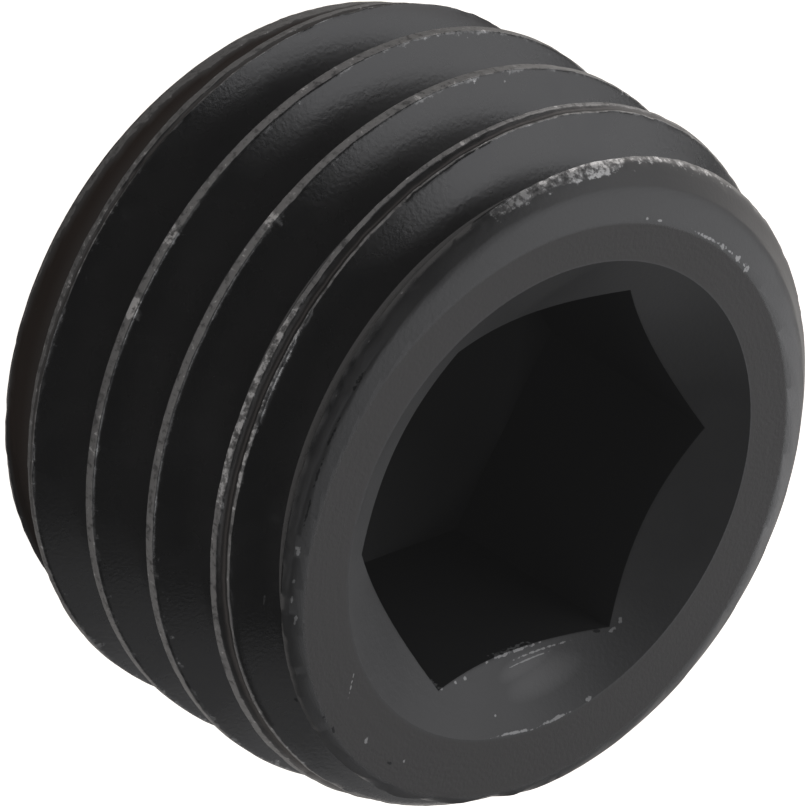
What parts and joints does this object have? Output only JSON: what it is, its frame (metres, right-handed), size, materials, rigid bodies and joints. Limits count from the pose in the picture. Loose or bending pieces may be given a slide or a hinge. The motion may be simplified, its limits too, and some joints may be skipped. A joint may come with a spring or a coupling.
{
  "type": "grub screw",
  "caption": "Short headless socket set screw in blackened steel: coarse right-hand thread that runs out at both ends, countersunk hexagon socket, flat point.",
  "frame": {"origin": "centre of the point's flat face, which the screw stands on", "axes": "+Z along the screw's axis out of the socket; +X through a corner of the hexagon; +Y through the middle of a flat"},
  "size_m": [0.016, 0.016, 0.01],
  "materials": {
    "blackened_steel": "black oxide over rolled and turned alloy steel, lightly oiled, rubbed bare in specks along the crests"
  },
  "bodies": {
    "root": {"grub_screw": "blackened_steel"}
  },
  "joints": []
}
